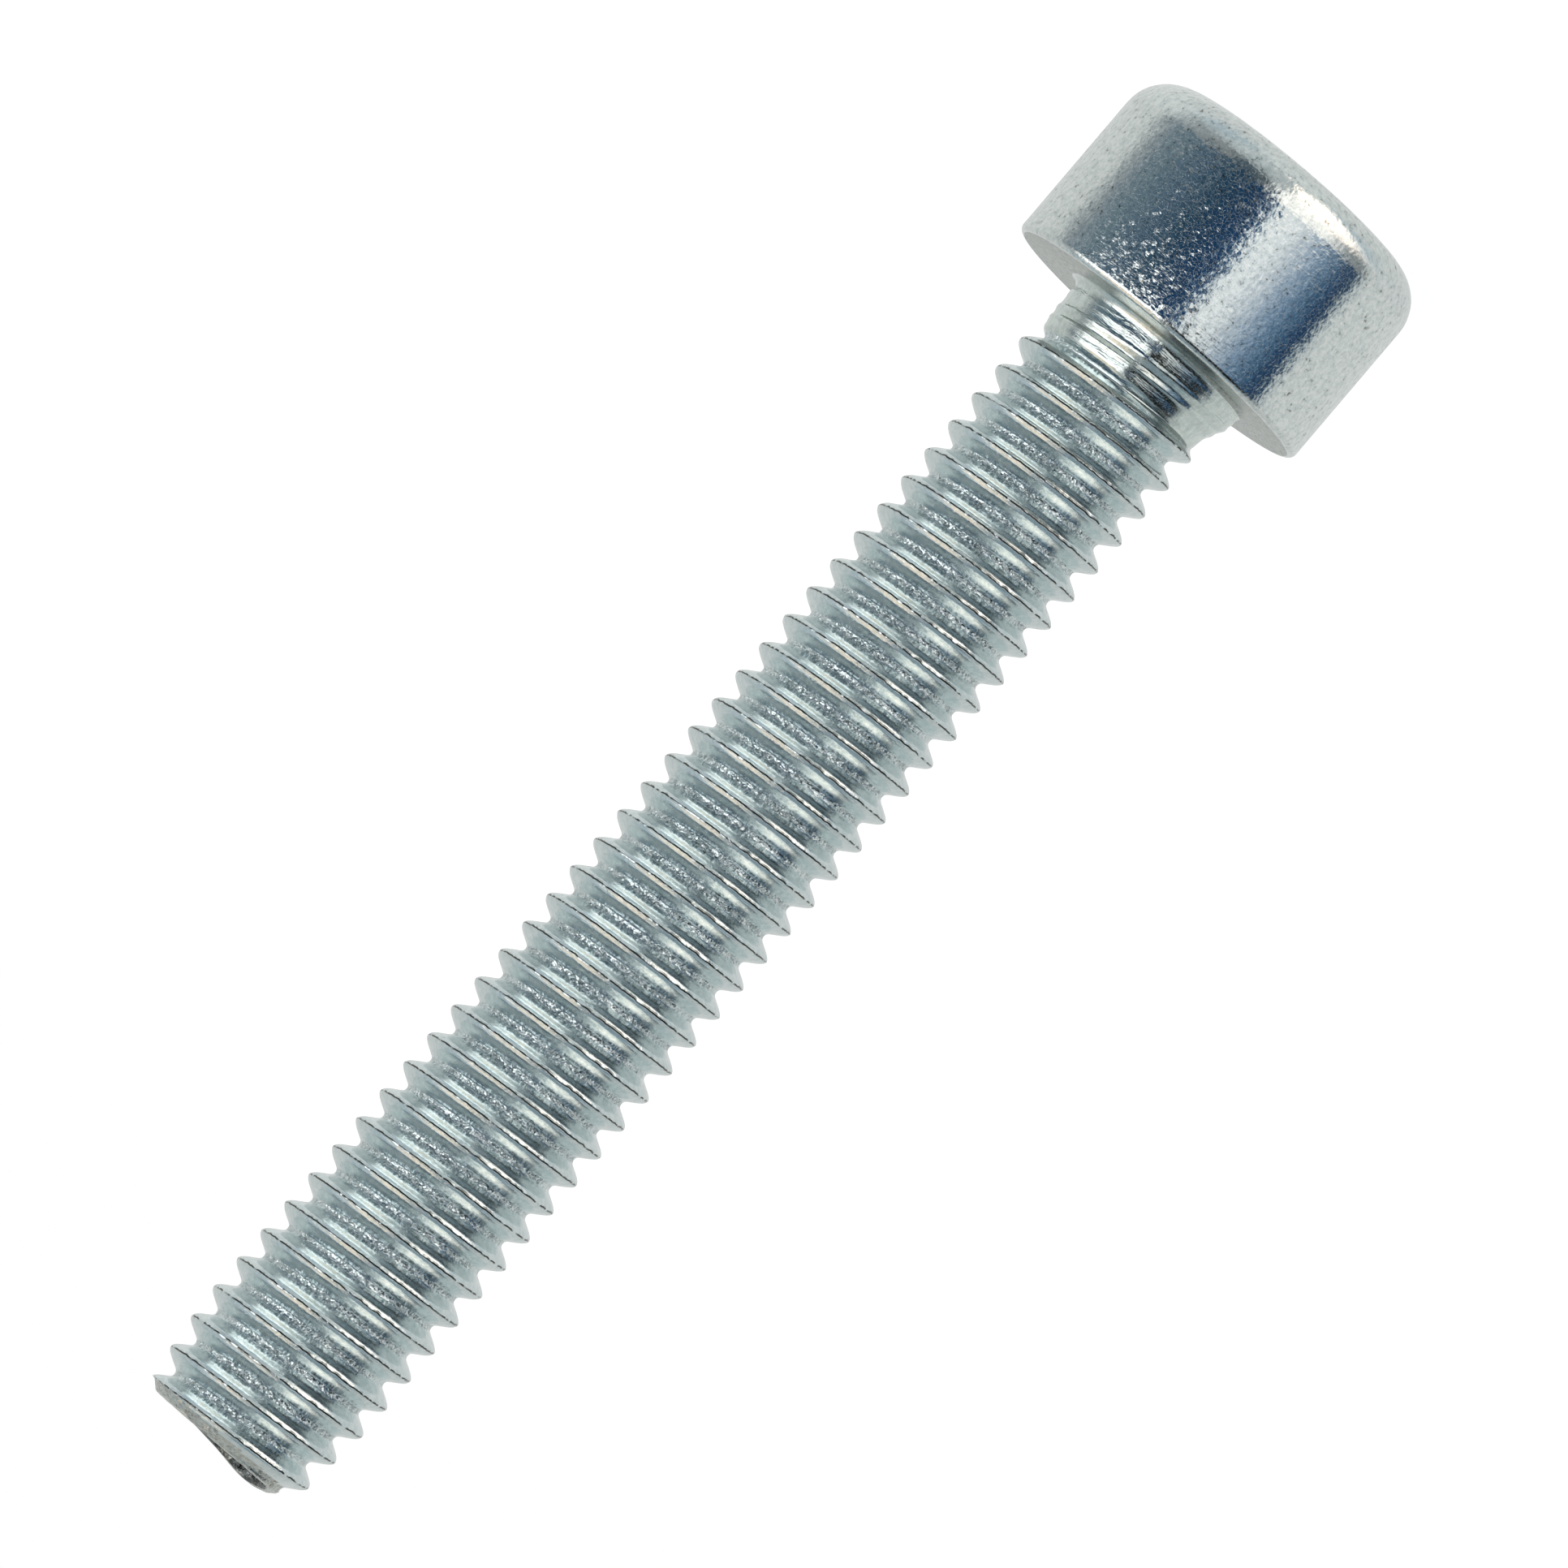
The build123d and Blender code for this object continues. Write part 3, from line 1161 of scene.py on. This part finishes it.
@dataclass
class Studio:
    """Pale floor, soft light and camera.

    Sizes are in metres, the lens and its sensor in millimetres, and angles in degrees.
    """

    floor_height: float
    floor_size: float = 6.0
    floor_colour: str = "#808080"
    floor_glow: float = 0.92
    azimuth: float = 209.0
    elevation: float = 3.4
    distance: float = 0.365
    lens: float = 306.6
    sensor_width: float = 36.0
    clip_start: float = 0.01
    aim_height: float = 0.0158
    aim_side: float = 0.000054
    # Direction of the screw's axis in the picture, to the right and up
    axis_across: float = -0.648
    axis_up: float = -0.762
    light_strength: float = 2.133
    rings: tuple[LightRing, ...] = (LEVEL, BELOW, FLOOR, NADIR, ABOVE, CEILING)

    def ring_light(self, tree: Tree) -> Socket:
        """Add the nodes that blend the rings of light by the direction that a ray goes.

        Args:
            tree: The world's node tree.

        Returns:
            The light's colour.
        """
        way = add_node(tree, "ShaderNodeTexCoord").outputs["Generated"]
        parts = add_node(tree, "ShaderNodeSeparateXYZ", {"Vector": way}).outputs
        angle = calculate(tree, "ARCTAN2", parts["Y"], parts["X"])
        # From 0 to 1 round the ring, with the camera in the middle
        offset = self.azimuth / 360 + 0.5
        turn = calculate(tree, "MULTIPLY_ADD", angle, -1 / (2 * math.pi), offset)
        turn = calculate(tree, "FRACT", turn)
        colour = None
        for ring in self.rings:
            ramp = add_node(tree, "ShaderNodeValToRGB", {"Fac": turn})
            elements = ramp.color_ramp.elements
            for number, (degrees, code) in enumerate(ring.stops):
                where = (degrees + 180) / 360
                element = elements[number] if number < 2 else elements.new(where)
                element.position = where
                element.color = linear(code)
            if colour is None:
                colour = ramp.outputs["Color"]
                continue
            share = remap(tree, parts["Z"], ring.blend, smooth=True)
            colour = mix_colours(tree, share, colour, ramp.outputs["Color"])
        return colour

    def light(self) -> None:
        """Set up soft light from all round, which is plain white to the camera."""
        world = bpy.data.worlds.new("studio")
        bpy.context.scene.world = world
        world.use_nodes = True
        tree = world.node_tree
        tree.nodes.clear()
        rays = add_node(tree, "ShaderNodeLightPath").outputs
        rings = add_node(
            tree, "ShaderNodeBackground",
            {"Color": self.ring_light(tree), "Strength": self.light_strength},
        ).outputs[0]
        white = add_node(
            tree, "ShaderNodeBackground", {"Color": (1, 1, 1, 1), "Strength": 1.0}
        ).outputs[0]
        mixed = add_node(
            tree, "ShaderNodeMixShader", {0: rays["Is Camera Ray"], 1: rings, 2: white}
        ).outputs[0]
        add_node(tree, "ShaderNodeOutputWorld", {"Surface": mixed})

    def lay_floor(self) -> None:
        """Lay a plain floor under the head, white to the camera but for the screw's shadow."""
        start_alone()
        bpy.ops.mesh.primitive_plane_add(size=self.floor_size, location=(0, 0, self.floor_height))
        floor = bpy.context.object
        floor.name = "floor"
        bpy.ops.object.transform_apply(location=True)
        material = bpy.data.materials.new("white_paper")
        material.use_nodes = True
        tree = material.node_tree
        tree.nodes.clear()
        paper = add_node(
            tree, "ShaderNodeBsdfDiffuse", {"Color": linear(self.floor_colour)}
        ).outputs[0]
        glow = add_node(
            tree, "ShaderNodeEmission", {"Color": (1, 1, 1, 1), "Strength": self.floor_glow}
        ).outputs[0]
        both = add_node(tree, "ShaderNodeAddShader", {0: paper, 1: glow}).outputs[0]
        rays = add_node(tree, "ShaderNodeLightPath").outputs
        mixed = add_node(
            tree, "ShaderNodeMixShader", {0: rays["Is Camera Ray"], 1: paper, 2: both}
        ).outputs[0]
        add_node(tree, "ShaderNodeOutputMaterial", {"Surface": mixed})
        floor.data.materials.append(material)
        floor.visible_glossy = False

    def set_camera(self) -> None:
        """Set the camera above the bearing face's level, turned so that the screw lies aslant."""
        azimuth, elevation = math.radians(self.azimuth), math.radians(self.elevation)
        back = Vector((
            math.cos(elevation) * math.cos(azimuth),
            math.cos(elevation) * math.sin(azimuth),
            math.sin(elevation),
        ))
        up_axis = Vector((0, 0, 1))
        axis = (up_axis - up_axis.dot(back) * back).normalized()
        side = back.cross(axis)
        right = self.axis_across * axis - self.axis_up * side
        up = self.axis_up * axis + self.axis_across * side
        turned = Matrix((right.normalized(), up.normalized(), back)).transposed()
        aim = Vector((0, 0, self.aim_height)) + self.aim_side * side
        data = bpy.data.cameras.new("camera")
        data.lens = self.lens
        data.sensor_width = self.sensor_width
        data.clip_start = self.clip_start
        camera = bpy.data.objects.new("camera", data)
        bpy.context.scene.collection.objects.link(camera)
        camera.matrix_world = Matrix.Translation(aim + self.distance * back) @ turned.to_4x4()
        bpy.context.scene.camera = camera

    def build(self) -> None:
        """Set up everything round the screw."""
        self.light()
        self.lay_floor()
        self.set_camera()
        bpy.context.scene.view_settings.view_transform = "Standard"


def main() -> None:
    """Build the screw and the studio."""
    logging.basicConfig(level=logging.INFO, format="%(name)s: %(message)s")
    low, high = (Vector(corner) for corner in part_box(NODE))
    piece = Screw(low, high).build()
    log.info("%s: %d faces", piece.name, len(piece.data.polygons))
    Studio(floor_height=low.z).build()


if __name__ == "__main__":
    main()
